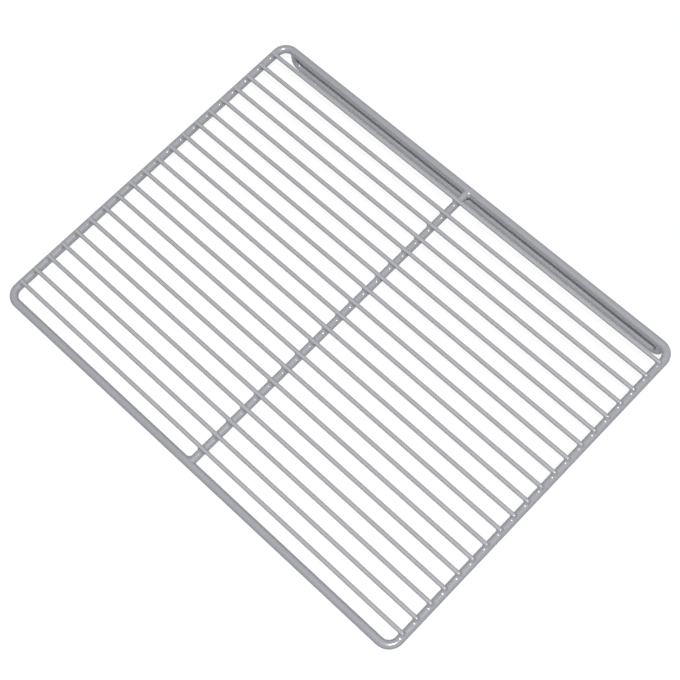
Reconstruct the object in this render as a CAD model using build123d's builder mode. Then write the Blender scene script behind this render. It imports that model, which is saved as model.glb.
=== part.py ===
# Refrigerator floor shelf: a coated, welded wire shelf.
# X runs along the long side, Y runs from the front rail to the rear rail, Z is up.
# The origin is under the middle of the shelf, level with the lowest point of the rear stiffener.
import os

from build123d import *

# Overall sizes, over the outside of the frame wire
shelf_length = 480.0
shelf_depth = 364.0

# Wire diameters, coating included
frame_wire = 8.0
bar_wire = 7.4
stiffener_wire = 7.4
grid_wire = 4.0

# Perimeter frame
corner_radius = 11.5

# Centre bar: how far its top lies below the frame's, so that its coped ends keep some thickness
bar_below_top = 0.3

# Grid: the wires stand at an even pitch, and as many are fitted as the depth takes
grid_pitch = 17.0
grid_overhang = 0.8
grid_end_round = 1.6
weld_set = 0.5

# Rear stiffener: how far its run hangs below the rear rail, the bends that bring its ends up,
# and how far its legs stand from the frame's corner bends
stiffener_drop = 20.5
stiffener_bend = 8.0
leg_setback = 0.5

# Places worked out from those sizes
side_rail_x = (shelf_length - frame_wire) / 2
end_rail_y = (shelf_depth - frame_wire) / 2
frame_z = stiffener_wire / 2 + stiffener_drop
frame_top = frame_z + frame_wire / 2
bar_z = frame_top - bar_below_top - bar_wire / 2
grid_z = frame_top + grid_wire / 2 - weld_set
grid_length = 2 * (side_rail_x + grid_overhang)
grid_count = int(2 * end_rail_y / grid_pitch)
grid_first_y = -(grid_count - 1) * grid_pitch / 2
stiffener_leg_x = side_rail_x - corner_radius - leg_setback
stiffener_run_z = frame_z - stiffener_drop

os.makedirs("parts", exist_ok=True)


# Perimeter frame: one wire bent round four corners and closed by a butt weld
with BuildPart() as perimeter_frame:
    with BuildLine(Plane.XY.offset(frame_z)) as frame_path:
        FilletPolyline(
            (side_rail_x, -end_rail_y),
            (side_rail_x, end_rail_y),
            (-side_rail_x, end_rail_y),
            (-side_rail_x, -end_rail_y),
            radius=corner_radius,
            close=True,
        )
    with BuildSketch(Plane(frame_path.line @ 0, z_dir=frame_path.line % 0)):
        Circle(frame_wire / 2)
    sweep()
perimeter_frame.part.label = "perimeter_frame"
export_step(perimeter_frame.part, "parts/perimeter_frame.step")


# Centre bar: its ends are coped to the two end rails
with BuildPart() as centre_bar:
    with BuildSketch(Plane.XZ.offset(-end_rail_y)):
        with Locations((0, bar_z)):
            Circle(bar_wire / 2)
    extrude(amount=2 * end_rail_y)
    add(perimeter_frame.part, mode=Mode.SUBTRACT)
centre_bar.part.label = "centre_bar"
export_step(centre_bar.part, "parts/centre_bar.step")


# Rear stiffener: a run under the rear rail, with both ends bent up and coped to the rail's underside
with BuildPart() as rear_stiffener:
    with BuildLine(Plane.XZ.offset(-end_rail_y)) as stiffener_path:
        FilletPolyline(
            (-stiffener_leg_x, frame_z),
            (-stiffener_leg_x, stiffener_run_z),
            (stiffener_leg_x, stiffener_run_z),
            (stiffener_leg_x, frame_z),
            radius=stiffener_bend,
        )
    with BuildSketch(Plane(stiffener_path.line @ 0, z_dir=stiffener_path.line % 0)):
        Circle(stiffener_wire / 2)
    sweep()
    add(perimeter_frame.part, mode=Mode.SUBTRACT)
rear_stiffener.part.label = "rear_stiffener"
export_step(rear_stiffener.part, "parts/rear_stiffener.step")


# Grid wires: each is sunk by the weld into the left rail, the centre bar and the right rail
for number in range(grid_count):
    wire_y = grid_first_y + number * grid_pitch
    wire_name = f"grid_wire_{number + 1:02d}"
    with BuildPart() as grid_strand:
        with BuildSketch(Plane.YZ.offset(-grid_length / 2)):
            with Locations((wire_y, grid_z)):
                Circle(grid_wire / 2)
        extrude(amount=grid_length)
        fillet(grid_strand.edges().filter_by(GeomType.CIRCLE), radius=grid_end_round)
        add(perimeter_frame.part, mode=Mode.SUBTRACT)
        add(centre_bar.part, mode=Mode.SUBTRACT)
    grid_strand.part.label = wire_name
    export_step(grid_strand.part, f"parts/{wire_name}.step")
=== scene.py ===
# Coated wire shelf for the floor of a refrigerator.
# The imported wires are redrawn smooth, and the coating is run into every weld.
# The shelf is lit from near the camera.
import math

import bmesh
import bpy
from mathutils import Matrix, Quaternion, Vector


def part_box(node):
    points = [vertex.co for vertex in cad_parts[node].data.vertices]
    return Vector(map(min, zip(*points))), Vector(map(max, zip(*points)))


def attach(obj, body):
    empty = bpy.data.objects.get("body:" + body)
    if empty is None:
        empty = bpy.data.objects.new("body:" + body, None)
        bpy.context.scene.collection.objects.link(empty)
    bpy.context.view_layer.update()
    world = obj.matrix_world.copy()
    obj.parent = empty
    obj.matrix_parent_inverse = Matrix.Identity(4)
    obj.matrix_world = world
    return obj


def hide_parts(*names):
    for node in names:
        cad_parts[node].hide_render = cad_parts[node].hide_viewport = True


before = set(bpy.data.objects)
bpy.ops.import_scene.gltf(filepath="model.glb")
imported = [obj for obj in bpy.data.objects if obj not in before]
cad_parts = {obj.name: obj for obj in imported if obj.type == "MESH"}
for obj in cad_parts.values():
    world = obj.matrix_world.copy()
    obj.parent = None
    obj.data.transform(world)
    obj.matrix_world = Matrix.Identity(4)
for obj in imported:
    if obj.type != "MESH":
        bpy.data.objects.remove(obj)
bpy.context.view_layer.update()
print("frame loaded with", len(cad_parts), "wires")

scene = bpy.context.scene
scene.view_settings.view_transform = "Standard"


# Camera at the photograph's angle: what it aims at in metres, and from which side in degrees
cameraView = {
    "aim": (0.0155, -0.0075, 0.0242),
    "distance": 1.4625,
    "azimuth": 52.33,
    "elevation": 66.44,
    "roll": -9.12,
    "lens": 88.03,
    "sensor": 36.0,
}


def directionTo(azimuth, elevation):
    a = math.radians(azimuth)
    e = math.radians(elevation)
    return Vector((math.sin(a) * math.cos(e), -math.cos(a) * math.cos(e), math.sin(e)))


def addCamera(settings):
    data = bpy.data.cameras.new("shelfCamera")
    data.lens = settings["lens"]
    data.sensor_width = settings["sensor"]
    back = directionTo(settings["azimuth"], settings["elevation"])
    turn = (-back).to_track_quat("-Z", "Y") @ Quaternion((0, 0, 1), math.radians(settings["roll"]))
    camera = bpy.data.objects.new("shelfCamera", data)
    place = Vector(settings["aim"]) + back * settings["distance"]
    camera.matrix_world = Matrix.Translation(place) @ turn.to_matrix().to_4x4()
    scene.collection.objects.link(camera)
    scene.camera = camera


addCamera(cameraView)
print("camera set")


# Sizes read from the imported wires
def middleAndHalf(node):
    low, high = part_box(node)
    return (low + high) / 2, (high - low) / 2


frameMid, frameHalf = middleAndHalf("perimeter_frame")
railRadius = frameHalf.z
railX = frameHalf.x - railRadius
railY = frameHalf.y - railRadius
railZ = frameMid.z

barMid, barHalf = middleAndHalf("centre_bar")
barRadius = barHalf.x
barZ = barMid.z

rodMid, rodHalf = middleAndHalf("rear_stiffener")
rodRadius = rodHalf.y
rodY = rodMid.y
rodZ = rodMid.z - rodHalf.z + rodRadius
legX = rodHalf.x - rodRadius

gridNodes = sorted(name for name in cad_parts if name.startswith("grid_wire_"))
gridCount = len(gridNodes)
firstMid, firstHalf = middleAndHalf(gridNodes[0])
lastMid = middleAndHalf(gridNodes[-1])[0]
gridRadius = firstHalf.y
gridZ = firstMid.z + firstHalf.z - gridRadius
gridEnd = firstHalf.x
gridFirst = firstMid.y
gridStep = (lastMid.y - firstMid.y) / (gridCount - 1)


# The coating's skin: soft patches of tone, patches of gloss, slow sags and a fine orange peel.
# Each is a noise with the detail given here.
skinDetail = {"Tone": 4.0, "Gloss": 3.0, "Sag": 1.0, "Peel": 2.0}


def makeCoatSkin():
    group = bpy.data.node_groups.new("coatSkin", "ShaderNodeTree")
    for effect in skinDetail:
        for name, way in ((effect + " Scale", "INPUT"), (effect, "OUTPUT")):
            group.interface.new_socket(name=name, in_out=way, socket_type="NodeSocketFloat")
    nodes = group.nodes
    links = group.links
    given = nodes.new("NodeGroupInput")
    out = nodes.new("NodeGroupOutput")
    place = nodes.new("ShaderNodeTexCoord")
    for effect, detail in skinDetail.items():
        noise = nodes.new("ShaderNodeTexNoise")
        noise.inputs["Detail"].default_value = detail
        links.new(place.outputs["Object"], noise.inputs["Vector"])
        links.new(given.outputs[effect + " Scale"], noise.inputs["Scale"])
        links.new(noise.outputs["Fac"], out.inputs[effect])
    return group


coatSkin = makeCoatSkin()

heavyCoat = {
    "dark": (0.340, 0.349, 0.376, 1.0),
    "light": (0.394, 0.403, 0.431, 1.0),
    "scales": {"Tone": 26.0, "Gloss": 80.0, "Sag": 75.0, "Peel": 620.0},
    "roughness": (0.20, 0.27),
    "depths": {"Sag": 0.0003, "Peel": 0.000005},
    "bumpStrength": 1.0,
    "metallic": 0.12,
    "specular": 0.60,
}
gridCoat = {
    "dark": (0.402, 0.412, 0.436, 1.0),
    "light": (0.458, 0.468, 0.492, 1.0),
    "scales": {"Tone": 34.0, "Gloss": 110.0, "Sag": 90.0, "Peel": 780.0},
    "roughness": (0.20, 0.27),
    "depths": {"Sag": 0.0001, "Peel": 0.000004},
    "bumpStrength": 1.0,
    "metallic": 0.12,
    "specular": 0.60,
}


def colourMix(nodes):
    mix = nodes.new("ShaderNodeMix")
    mix.data_type = "RGBA"
    one, two = [socket for socket in mix.inputs if socket.type == "RGBA"]
    mixed = [socket for socket in mix.outputs if socket.type == "RGBA"][0]
    return mix.inputs[0], one, two, mixed


def makeCoat(name, settings):
    material = bpy.data.materials.new(name)
    material.use_nodes = True
    nodes = material.node_tree.nodes
    links = material.node_tree.links
    shader = nodes["Principled BSDF"]
    shader.inputs["Specular IOR Level"].default_value = settings["specular"]
    shader.inputs["Metallic"].default_value = settings["metallic"]

    skin = nodes.new("ShaderNodeGroup")
    skin.node_tree = coatSkin
    for effect, scale in settings["scales"].items():
        skin.inputs[effect + " Scale"].default_value = scale

    share, dark, light, mixed = colourMix(nodes)
    dark.default_value = settings["dark"]
    light.default_value = settings["light"]
    links.new(skin.outputs["Tone"], share)
    links.new(mixed, shader.inputs["Base Color"])

    gloss = nodes.new("ShaderNodeMapRange")
    gloss.inputs["To Min"].default_value = settings["roughness"][0]
    gloss.inputs["To Max"].default_value = settings["roughness"][1]
    links.new(skin.outputs["Gloss"], gloss.inputs["Value"])
    links.new(gloss.outputs["Result"], shader.inputs["Roughness"])

    target = shader.inputs["Normal"]
    for effect in ("Peel", "Sag"):
        bump = nodes.new("ShaderNodeBump")
        bump.inputs["Strength"].default_value = settings["bumpStrength"]
        bump.inputs["Distance"].default_value = settings["depths"][effect]
        links.new(skin.outputs[effect], bump.inputs["Height"])
        links.new(bump.outputs["Normal"], target)
        target = bump.inputs["Normal"]
    return material


heavyWireCoat = makeCoat("heavyWireCoat", heavyCoat)
gridWireCoat = makeCoat("gridWireCoat", gridCoat)
print("coating materials made")


# Geometry Nodes: one tree bends a wire along a path, the other sets a shape out in a row
def newTree(name, inputs):
    tree = bpy.data.node_groups.new(name, "GeometryNodeTree")
    for label, kind in inputs:
        tree.interface.new_socket(name=label, in_out="INPUT", socket_type=kind)
    tree.interface.new_socket(name="Wire", in_out="OUTPUT", socket_type="NodeSocketGeometry")
    return tree


def finishTree(tree, given, shaped):
    nodes = tree.nodes
    links = tree.links
    realize = nodes.new("GeometryNodeRealizeInstances")
    links.new(shaped, realize.inputs["Geometry"])
    coated = nodes.new("GeometryNodeSetMaterial")
    links.new(realize.outputs["Geometry"], coated.inputs["Geometry"])
    links.new(given.outputs["Coat"], coated.inputs["Material"])
    out = nodes.new("NodeGroupOutput")
    links.new(coated.outputs["Geometry"], out.inputs["Wire"])


def makeBentWireTree():
    tree = newTree("bentWire", (
        ("Path", "NodeSocketGeometry"),
        ("Bend Radius", "NodeSocketFloat"),
        ("Bend Steps", "NodeSocketInt"),
        ("Wire Radius", "NodeSocketFloat"),
        ("Sides", "NodeSocketInt"),
        ("Coat", "NodeSocketMaterial"),
    ))
    nodes = tree.nodes
    links = tree.links
    given = nodes.new("NodeGroupInput")
    bend = nodes.new("GeometryNodeFilletCurve")
    bend.mode = "POLY"
    links.new(given.outputs["Path"], bend.inputs["Curve"])
    links.new(given.outputs["Bend Radius"], bend.inputs["Radius"])
    links.new(given.outputs["Bend Steps"], bend.inputs["Count"])
    section = nodes.new("GeometryNodeCurvePrimitiveCircle")
    links.new(given.outputs["Sides"], section.inputs["Resolution"])
    links.new(given.outputs["Wire Radius"], section.inputs["Radius"])
    sweep = nodes.new("GeometryNodeCurveToMesh")
    sweep.inputs["Fill Caps"].default_value = True
    links.new(bend.outputs["Curve"], sweep.inputs["Curve"])
    links.new(section.outputs["Curve"], sweep.inputs["Profile Curve"])
    smooth = nodes.new("GeometryNodeSetShadeSmooth")
    links.new(sweep.outputs["Mesh"], smooth.inputs["Geometry"])
    finishTree(tree, given, smooth.outputs["Geometry"])
    return tree


def makeRowTree():
    tree = newTree("wireRow", (
        ("Base", "NodeSocketGeometry"),
        ("Item", "NodeSocketObject"),
        ("Count", "NodeSocketInt"),
        ("First", "NodeSocketVector"),
        ("Step", "NodeSocketVector"),
        ("Coat", "NodeSocketMaterial"),
    ))
    nodes = tree.nodes
    links = tree.links
    given = nodes.new("NodeGroupInput")
    row = nodes.new("GeometryNodeMeshLine")
    row.mode = "OFFSET"
    links.new(given.outputs["Count"], row.inputs["Count"])
    links.new(given.outputs["First"], row.inputs["Start Location"])
    links.new(given.outputs["Step"], row.inputs["Offset"])
    item = nodes.new("GeometryNodeObjectInfo")
    links.new(given.outputs["Item"], item.inputs["Object"])
    spread = nodes.new("GeometryNodeInstanceOnPoints")
    links.new(row.outputs["Mesh"], spread.inputs["Points"])
    links.new(item.outputs["Geometry"], spread.inputs["Instance"])
    join = nodes.new("GeometryNodeJoinGeometry")
    links.new(given.outputs["Base"], join.inputs["Geometry"])
    links.new(spread.outputs["Instances"], join.inputs["Geometry"])
    finishTree(tree, given, join.outputs["Geometry"])
    return tree


bentWireTree = makeBentWireTree()
rowTree = makeRowTree()


def addTree(holder, tree, values):
    modifier = holder.modifiers.new(tree.name, "NODES")
    modifier.node_group = tree
    for socket in tree.interface.items_tree:
        if socket.in_out == "INPUT" and socket.name in values:
            modifier[socket.identifier] = values[socket.name]


def takeMesh(holder, name):
    bpy.context.view_layer.update()
    depsgraph = bpy.context.evaluated_depsgraph_get()
    mesh = bpy.data.meshes.new_from_object(holder.evaluated_get(depsgraph), depsgraph=depsgraph)
    mesh.name = name
    holder.modifiers.clear()
    bpy.data.objects.remove(holder)
    piece = bpy.data.objects.new(name, mesh)
    scene.collection.objects.link(piece)
    return piece


def bentWire(name, points, closed, settings, wireRadius, coat):
    path = bpy.data.curves.new(name + "Path", "CURVE")
    path.dimensions = "3D"
    line = path.splines.new("POLY")
    line.points.add(len(points) - 1)
    for point, place in zip(line.points, points):
        point.co = (*place, 1.0)
    line.use_cyclic_u = closed
    holder = bpy.data.objects.new(name + "Path", path)
    scene.collection.objects.link(holder)
    addTree(holder, bentWireTree, {
        "Bend Radius": settings["bendRadius"],
        "Bend Steps": settings["bendSteps"],
        "Wire Radius": wireRadius,
        "Sides": settings["sides"],
        "Coat": coat,
    })
    return takeMesh(holder, name)


def fit(piece, *nodes):
    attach(piece, "root")
    if nodes:
        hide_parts(*nodes)


# Perimeter frame: one closed loop with four rounded corners
frameWire = {"bendRadius": 0.0115, "bendSteps": 16, "sides": 36}
corners = [
    (-railX, -railY, railZ),
    (railX, -railY, railZ),
    (railX, railY, railZ),
    (-railX, railY, railZ),
]
perimeterFrame = bentWire("perimeterFrame", corners, True, frameWire, railRadius, heavyWireCoat)
fit(perimeterFrame, "perimeter_frame")

# Centre bar: runs to the centre lines of the front and rear rails
barWire = {"bendRadius": 0.0, "bendSteps": 1, "sides": 36}
barEnds = [(0.0, -railY, barZ), (0.0, railY, barZ)]
centreBar = bentWire("centreBar", barEnds, False, barWire, barRadius, heavyWireCoat)
fit(centreBar, "centre_bar")

# Rear stiffener: hangs under the rear rail, both ends bent up into it
rodWire = {"bendRadius": 0.0080, "bendSteps": 16, "sides": 36}
hoop = [(-legX, rodY, railZ), (-legX, rodY, rodZ), (legX, rodY, rodZ), (legX, rodY, railZ)]
rearStiffener = bentWire("rearStiffener", hoop, False, rodWire, rodRadius, heavyWireCoat)
fit(rearStiffener, "rear_stiffener")
print("frame, bar and stiffener bent")


# Closed shapes made point by point, and rows of them
def meshObject(name, build):
    shape = bmesh.new()
    build(shape)
    bmesh.ops.recalc_face_normals(shape, faces=shape.faces)
    mesh = bpy.data.meshes.new(name)
    shape.to_mesh(mesh)
    shape.free()
    made = bpy.data.objects.new(name, mesh)
    scene.collection.objects.link(made)
    return made


def setOut(name, rows, coat):
    holder = bpy.data.objects.new(name + "Row", bpy.data.meshes.new(name + "Row"))
    scene.collection.objects.link(holder)
    for values in rows:
        addTree(holder, rowTree, {"Coat": coat, **values})
    return takeMesh(holder, name)


# Grid wires: long, straight, with domed ends
gridWire = {"sides": 24, "domeSteps": 7, "runSteps": 24}


def buildGridWire(shape):
    sides = gridWire["sides"]
    run = gridEnd - gridRadius
    dome = []
    for step in range(1, gridWire["domeSteps"]):
        angle = math.pi / 2 * step / gridWire["domeSteps"]
        dome.append((gridRadius * math.cos(angle), gridRadius * math.sin(angle)))
    stations = [(-run - reach, radius) for reach, radius in dome]
    for step in range(gridWire["runSteps"] + 1):
        stations.append((-run + 2 * run * step / gridWire["runSteps"], gridRadius))
    stations += [(run + reach, radius) for reach, radius in reversed(dome)]
    rings = []
    for x, radius in stations:
        ring = []
        for side in range(sides):
            turn = 2 * math.pi * side / sides
            ring.append(shape.verts.new((x, radius * math.cos(turn), radius * math.sin(turn))))
        rings.append(ring)
    for one, two in zip(rings, rings[1:]):
        for side in range(sides):
            other = (side + 1) % sides
            shape.faces.new((one[side], two[side], two[other], one[other]))
    for ring, tip in ((rings[0], -gridEnd), (rings[-1], gridEnd)):
        pole = shape.verts.new((tip, 0.0, 0.0))
        for side in range(sides):
            shape.faces.new((pole, ring[side], ring[(side + 1) % sides]))
    for face in shape.faces:
        face.smooth = True


oneGridWire = meshObject("oneGridWire", buildGridWire)
gridWires = setOut("gridWires", [{
    "Item": oneGridWire,
    "Count": gridCount,
    "First": (0.0, gridFirst, gridZ),
    "Step": (0.0, gridStep, 0.0),
}], gridWireCoat)
bpy.data.objects.remove(oneGridWire)
fit(gridWires, *gridNodes)
print("grid of", gridCount, "wires set out")


# Coating in the welds: a ball rolled round where two wires meet leaves this ring
def arcBetween(centre, radius, one, two, steps):
    spread = one.angle(two)
    points = []
    for step in range(steps + 1):
        part = step / steps
        mix = one * math.sin((1 - part) * spread) + two * math.sin(part * spread)
        points.append(centre + mix / math.sin(spread) * radius)
    return points


def buildRing(shape, sections):
    rings = [[shape.verts.new(point) for point in section] for section in sections]
    count = len(rings[0])
    for one, two in zip(rings, rings[1:] + rings[:1]):
        for place in range(count):
            after = (place + 1) % count
            face = shape.faces.new((one[place], one[after], two[after], two[place]))
            face.smooth = True
        # the last point of a section is hidden, and the coating's two edges on the wires stay sharp
        for place in (0, count - 2):
            shape.edges.get((one[place], two[place])).smooth = False


# While it was wet the coating ran towards the front, so the ball is largest there
weldCoat = {
    "front": 0.0044,
    "rear": 0.0010,
    "inner": 0.0015,
    "outer": 0.0032,
    "spread": 4.0,
    "around": 56,
    "across": 10,
    "startStep": 0.5,
    "hiddenDepth": 0.6,
    "hiddenPull": 0.35,
}


def ballAt(turn, wireEnds):
    alongX = weldCoat["outer"] if wireEnds and math.cos(turn) > 0 else weldCoat["inner"]
    alongY = weldCoat["rear"] if math.sin(turn) > 0 else weldCoat["front"]
    share = abs(math.sin(turn)) ** weldCoat["spread"]
    return alongX + (alongY - alongX) * share


def crossingSections(underRadius, overHeight, domeX, wireEnds):
    # the lower wire runs along Y and the grid wire along X above it
    # a grid wire that ends at +X has its dome from domeX on
    reach = math.hypot(domeX, overHeight)
    sections = []
    for step in range(weldCoat["around"]):
        turn = 2 * math.pi * (step + weldCoat["startStep"]) / weldCoat["around"]
        ball = ballAt(turn, wireEnds)
        under = underRadius + ball
        over = gridRadius + ball
        widest = math.acos((overHeight - math.sqrt(under**2 - domeX**2)) / over)
        if wireEnds and math.cos(turn) > 0:
            y = over * math.sin(widest) * math.sin(turn)
            level = (under**2 + reach**2 + y**2 - over**2) / 2
            lean = math.atan2(domeX, overHeight) + math.acos(min(1.0, level / (under * reach)))
            x = under * math.sin(lean)
            z = under * math.cos(lean)
            onWire = Vector((domeX, 0.0, overHeight))
        else:
            angle = widest * math.sin(turn)
            y = over * math.sin(angle)
            z = overHeight - over * math.cos(angle)
            x = math.copysign(math.sqrt(max(0.0, under**2 - z**2)), math.cos(turn))
            onWire = Vector((x, 0.0, overHeight))
        centre = Vector((x, y, z))
        toWire = (onWire - centre).normalized()
        toUnder = (Vector((0.0, y, 0.0)) - centre).normalized()
        section = arcBetween(centre, ball, toWire, toUnder, weldCoat["across"])
        pull = weldCoat["hiddenPull"]
        hiddenX = domeX + pull * (x - domeX)
        section.append(Vector((hiddenX, pull * y, overHeight - weldCoat["hiddenDepth"] * gridRadius)))
        sections.append(section)
    return sections


railSections = crossingSections(railRadius, gridZ - railZ, gridEnd - gridRadius - railX, True)
barSections = crossingSections(barRadius, gridZ - barZ, 0.0, False)
leftSections = [[Vector((-point.x, point.y, point.z)) for point in section] for section in railSections]
rightWeld = meshObject("rightWeld", lambda shape: buildRing(shape, railSections))
leftWeld = meshObject("leftWeld", lambda shape: buildRing(shape, leftSections))
barWeld = meshObject("barWeld", lambda shape: buildRing(shape, barSections))
alongRail = {"Count": gridCount, "Step": (0.0, gridStep, 0.0)}
railWelds = setOut("railWelds", [
    {"Item": rightWeld, "First": (railX, gridFirst, railZ), **alongRail},
    {"Item": leftWeld, "First": (-railX, gridFirst, railZ), **alongRail},
], heavyWireCoat)
barWelds = setOut("barWelds", [
    {"Item": barWeld, "First": (0.0, gridFirst, barZ), **alongRail},
], heavyWireCoat)
for used in (rightWeld, leftWeld, barWeld):
    bpy.data.objects.remove(used)
fit(railWelds)
fit(barWelds)
print("coating run into the welds of", gridCount, "grid wires")

# Coating where the bar or a leg meets a rail: each pair is the ball on the wire's two sides
barFoot = {
    "front": (0.0040, 0.0009),
    "rear": (0.0009, 0.0030),
    "around": 64,
    "across": 12,
    "hidden": 0.5,
}
legFoot = {"both": (0.0020, 0.0020), "around": 56, "across": 12, "hidden": 0.5}


def onRail(x, z, cornerX):
    # nearest point of a rail's centre line that runs along X and bends towards -Z past cornerX
    if x <= cornerX:
        return Vector((x, 0.0, 0.0))
    bend = frameWire["bendRadius"]
    turn = math.atan2(x - cornerX, z + bend)
    return Vector((cornerX + bend * math.sin(turn), 0.0, bend * math.cos(turn) - bend))


def footSections(settings, balls, wireRadius, cornerX):
    # the wire runs along +Y out of the rail; balls are at -X and +X
    sections = []
    for step in range(settings["around"]):
        turn = 2 * math.pi * step / settings["around"]
        part = (1 + math.cos(turn)) / 2
        ball = balls[0] + (balls[1] - balls[0]) * part
        x = (wireRadius + ball) * math.cos(turn)
        z = (wireRadius + ball) * math.sin(turn)
        nearest = onRail(x, z, cornerX)
        away = math.hypot(x - nearest.x, z - nearest.z)
        y = math.sqrt((railRadius + ball) ** 2 - away**2)
        centre = Vector((x, y, z))
        toWire = (Vector((0.0, y, 0.0)) - centre).normalized()
        toRail = (nearest - centre).normalized()
        section = arcBetween(centre, ball, toWire, toRail, settings["across"])
        core = settings["hidden"] * wireRadius
        depth = settings["hidden"] * railRadius
        section.append(Vector((core * math.cos(turn), depth, core * math.sin(turn))))
        sections.append(section)
    return sections


def addFeet(name, places):
    def build(shape):
        for sections, place in places:
            buildRing(shape, [[place @ point for point in section] for section in sections])
    feet = meshObject(name, build)
    feet.data.materials.append(heavyWireCoat)
    fit(feet)


frontPlace = Matrix.Translation((0.0, -railY, barZ))
rearPlace = Matrix.Translation((0.0, railY, barZ)) @ Matrix.Scale(-1, 4, (0, 1, 0))
addFeet("barFeet", [
    (footSections(barFoot, barFoot["front"], barRadius, railX), frontPlace),
    (footSections(barFoot, barFoot["rear"], barRadius, railX), rearPlace),
])
legToCorner = railX - frameWire["bendRadius"] - legX
legSections = footSections(legFoot, legFoot["both"], rodRadius, legToCorner)
hang = Matrix.Translation((legX, rodY, railZ)) @ Matrix.Rotation(-math.pi / 2, 4, "X")
addFeet("legFeet", [
    (legSections, hang),
    (legSections, Matrix.Scale(-1, 4, (1, 0, 0)) @ hang),
])
print("coating run round the bar's ends and the stiffener's legs")


# Floor: tilted a little, so that the front rail and the stiffener both stand on it
studioFloor = {
    "size": 3.0,
    "colour": (0.06, 0.06, 0.06, 1.0),
    "glow": 0.945,
    "shadowed": (0.08, 0.08, 0.08, 1.0),
}


def backdropRays(nodes, links):
    # 1 where the camera, a reflection or a see-through surface looks at the backdrop
    ray = nodes.new("ShaderNodeLightPath")
    wide = nodes.new("ShaderNodeMath")
    wide.operation = "MAXIMUM"
    links.new(ray.outputs["Is Camera Ray"], wide.inputs[0])
    links.new(ray.outputs["Is Glossy Ray"], wide.inputs[1])
    widest = nodes.new("ShaderNodeMath")
    widest.operation = "MAXIMUM"
    links.new(wide.outputs["Value"], widest.inputs[0])
    links.new(ray.outputs["Is Transmission Ray"], widest.inputs[1])
    return widest.outputs["Value"]


def makeFloor(settings):
    front = Vector((0.0, -railY, railZ - railRadius))
    rear = Vector((0.0, rodY, rodZ - rodRadius))
    slope = (rear - front).normalized()
    half = settings["size"] / 2
    mesh = bpy.data.meshes.new("studioFloor")
    across = Vector((half, 0.0, 0.0))
    middle = (front + rear) / 2
    mesh.from_pydata(
        [middle - across - slope * half, middle + across - slope * half,
         middle + across + slope * half, middle - across + slope * half],
        [], [(0, 1, 2, 3)])
    floor = bpy.data.objects.new("studioFloor", mesh)
    scene.collection.objects.link(floor)

    material = bpy.data.materials.new("studioFloor")
    material.use_nodes = True
    nodes = material.node_tree.nodes
    links = material.node_tree.links
    nodes.remove(nodes["Principled BSDF"])
    out = nodes["Material Output"]
    matt = nodes.new("ShaderNodeBsdfDiffuse")
    matt.inputs["Color"].default_value = settings["colour"]
    pale = nodes.new("ShaderNodeBsdfDiffuse")
    pale.inputs["Color"].default_value = settings["shadowed"]
    glow = nodes.new("ShaderNodeEmission")
    glow.inputs["Strength"].default_value = settings["glow"]
    seen = nodes.new("ShaderNodeAddShader")
    links.new(glow.outputs["Emission"], seen.inputs[0])
    links.new(pale.outputs["BSDF"], seen.inputs[1])
    choose = nodes.new("ShaderNodeMixShader")
    links.new(backdropRays(nodes, links), choose.inputs["Fac"])
    links.new(matt.outputs["BSDF"], choose.inputs[1])
    links.new(seen.outputs["Shader"], choose.inputs[2])
    links.new(choose.outputs["Shader"], out.inputs["Surface"])
    mesh.materials.append(material)
    return floor


makeFloor(studioFloor)

# World: white where the camera or a reflection looks past the floor, a soft grey studio for the rest
studioWorld = {
    "low": (0.07, 0.07, 0.072, 1.0),
    "high": (0.10, 0.10, 0.103, 1.0),
    "seen": (1.0, 1.0, 1.0, 1.0),
}


def makeWorld(settings):
    world = bpy.data.worlds.new("studioWorld")
    world.use_nodes = True
    scene.world = world
    nodes = world.node_tree.nodes
    links = world.node_tree.links
    place = nodes.new("ShaderNodeTexCoord")
    split = nodes.new("ShaderNodeSeparateXYZ")
    links.new(place.outputs["Generated"], split.inputs["Vector"])
    rise = nodes.new("ShaderNodeMapRange")
    rise.interpolation_type = "SMOOTHSTEP"
    links.new(split.outputs["Z"], rise.inputs["Value"])
    height, low, high, studio = colourMix(nodes)
    low.default_value = settings["low"]
    high.default_value = settings["high"]
    links.new(rise.outputs["Result"], height)
    backdrop, lit, seen, chosen = colourMix(nodes)
    seen.default_value = settings["seen"]
    links.new(studio, lit)
    links.new(backdropRays(nodes, links), backdrop)
    links.new(chosen, nodes["Background"].inputs["Color"])


makeWorld(studioWorld)

# Key lamp: a small softbox, a few degrees from the camera's line
keyLamp = {"azimuth": 60.0, "elevation": 69.2, "distance": 4.0, "size": 0.16, "power": 150.0}


def addLamp(name, settings):
    data = bpy.data.lights.new(name, "AREA")
    data.shape = "DISK"
    data.size = settings["size"]
    data.energy = settings["power"]
    back = directionTo(settings["azimuth"], settings["elevation"])
    lamp = bpy.data.objects.new(name, data)
    lamp.location = Vector(cameraView["aim"]) + back * settings["distance"]
    lamp.rotation_mode = "QUATERNION"
    lamp.rotation_quaternion = (-back).to_track_quat("-Z", "Y")
    scene.collection.objects.link(lamp)


addLamp("keyLamp", keyLamp)
print("floor, world and lamp set")
